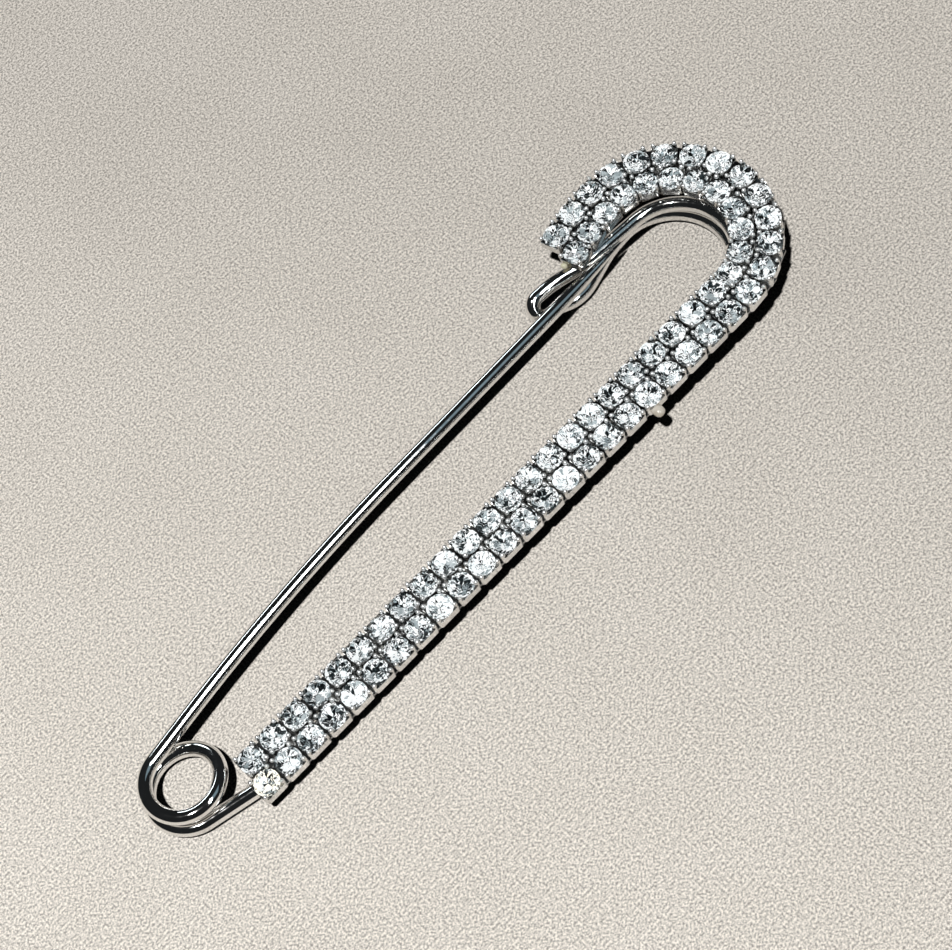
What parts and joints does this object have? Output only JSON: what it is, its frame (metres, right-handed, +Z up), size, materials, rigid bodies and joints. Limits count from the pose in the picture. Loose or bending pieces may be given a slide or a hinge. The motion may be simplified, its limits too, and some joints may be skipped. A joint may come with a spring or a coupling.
{
  "type": "safety pin brooch",
  "caption": "Large safety pin brooch of polished wire with a coil, a bent wire catch and a hooked band of round cut stones in silver cups along one leg.",
  "frame": {"origin": "centre of the coil's eye, on the surface that the brooch lies on", "axes": "+X from the coil towards the hooked end along the stone band, +Y from the band towards the pin stem, +Z up from the surface"},
  "size_m": [0.0888, 0.0236, 0.0052],
  "materials": {
    "polished_wire": "mirror-polished plated steel wire",
    "cup_metal": "bright silver plate",
    "stone": "clear cut glass with a foiled back"
  },
  "bodies": {
    "frame": {"frame_wire": "polished_wire", "cup_band": "cup_metal", "stones": "stone"},
    "stem": {"pin_stem": "polished_wire"}
  },
  "joints": [
    {"name": "stem_lift", "type": "hinge", "parent": "frame", "child": "stem", "pos_m": [-0.00348, 0.00127, 0.00245], "axis": [-0.342, -0.9397, 0], "range_deg": [0, 40]}
  ]
}
